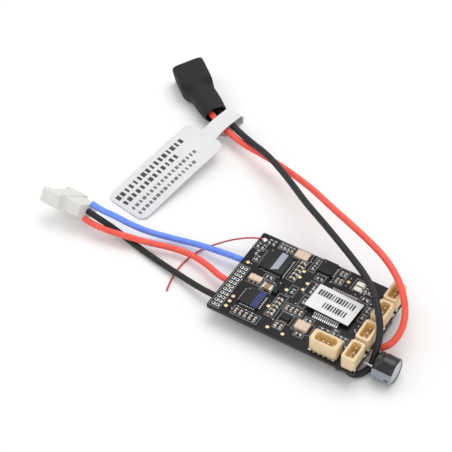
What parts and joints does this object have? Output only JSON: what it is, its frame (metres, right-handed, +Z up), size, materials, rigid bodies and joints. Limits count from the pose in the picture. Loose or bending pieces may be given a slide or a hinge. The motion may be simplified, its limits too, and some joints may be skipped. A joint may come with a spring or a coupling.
{
  "type": "electronic speed controller",
  "caption": "Small motor speed controller board with receiver and gyro chips, cream plug headers, smoothing capacitor, motor and battery leads with plugs, aerial wire and hanging label tag.",
  "frame": {"origin": "under the middle of the board and its capacitor, on the surface that the controller lies on", "axes": "+X along the board towards the capacitor, +Y across the board, +Z up"},
  "size_m": [0.0962, 0.0697, 0.0137],
  "materials": {
    "solder_mask": "satin black solder mask with pale grey silk lines",
    "tinned_pad": "bright tinned copper",
    "gold_plating": "gold plated copper",
    "header_nylon": "cream moulded nylon",
    "tinned_metal": "tin plated",
    "chip_epoxy": "fine-grained black moulding compound",
    "white_label": "white label film",
    "tan_ceramic": "fired tan ceramic with metal ends",
    "capacitor_ceramic": "tan ceramic with metal ends",
    "resistor_glaze": "black glaze with metal ends",
    "led_resin": "clear pale resin",
    "can_aluminium": "bright drawn",
    "can_sleeve": "glossy shrunk film",
    "bung_rubber": "matte",
    "blue_silicone": "satin silicone insulation",
    "red_silicone": "satin silicone insulation",
    "black_silicone": "satin silicone insulation",
    "antenna_enamel": "dark red insulation",
    "solder": "bright solder",
    "plug_nylon": "off-white moulded nylon",
    "shrink_tube": "matte black shrunk tube",
    "tag_film": "white printed-label film"
  },
  "bodies": {
    "controller": {"antenna_joint": "solder", "antenna_wire": "antenna_enamel", "battery_joint_black": "solder", "battery_joint_red": "solder", "battery_lead_black": "black_silicone", "battery_lead_red": "red_silicone", "battery_plug_contacts": "tinned_metal", "battery_plug_housing": "plug_nylon", "capacitor_bung": "bung_rubber", "capacitor_can": "can_aluminium", "capacitor_leads": "tinned_metal", "capacitor_sleeve": "can_sleeve", "chip_capacitors": "capacitor_ceramic", "chip_resistors": "resistor_glaze", "circuit_board": "solder_mask", "crystal": "tan_ceramic", "driver_chip": "chip_epoxy", "driver_chip_leads": "tinned_metal", "driver_chip_sticker": "white_label", "edge_pads": "tinned_pad", "front_header": "header_nylon", "gold_test_pads": "gold_plating", "gyro_chip": "chip_epoxy", "gyro_chip_pads": "tinned_pad", "header_contacts": "tinned_metal", "header_solder_tabs": "tinned_metal", "motor_joint_black": "solder", "motor_joint_blue": "solder", "motor_joint_red": "solder", "motor_lead_black": "black_silicone", "motor_lead_blue": "blue_silicone", "motor_lead_red": "red_silicone", "motor_plug_contacts": "tinned_metal", "motor_plug_housing": "plug_nylon", "power_mosfets": "chip_epoxy", "processor_chip": "chip_epoxy", "processor_chip_pads": "tinned_pad", "radio_chip": "chip_epoxy", "radio_chip_pads": "tinned_pad", "resonator": "tan_ceramic", "shrink_sleeve": "shrink_tube", "side_header_1": "header_nylon", "side_header_2": "header_nylon", "side_header_3": "header_nylon", "side_header_4": "header_nylon", "smoothing_block": "tan_ceramic", "status_leds": "led_resin", "supply_inductor": "tan_ceramic", "transistors": "chip_epoxy", "voltage_regulator": "chip_epoxy"},
    "tag": {"tag_loop": "tag_film", "tag_sheet": "tag_film"}
  },
  "joints": [
    {"name": "tag_swing", "type": "hinge", "parent": "controller", "child": "tag", "pos_m": [-0.0503, 0.0404, 0.0032], "axis": [-0.9845, 0.1754, 0], "range_deg": [0, 15]}
  ]
}
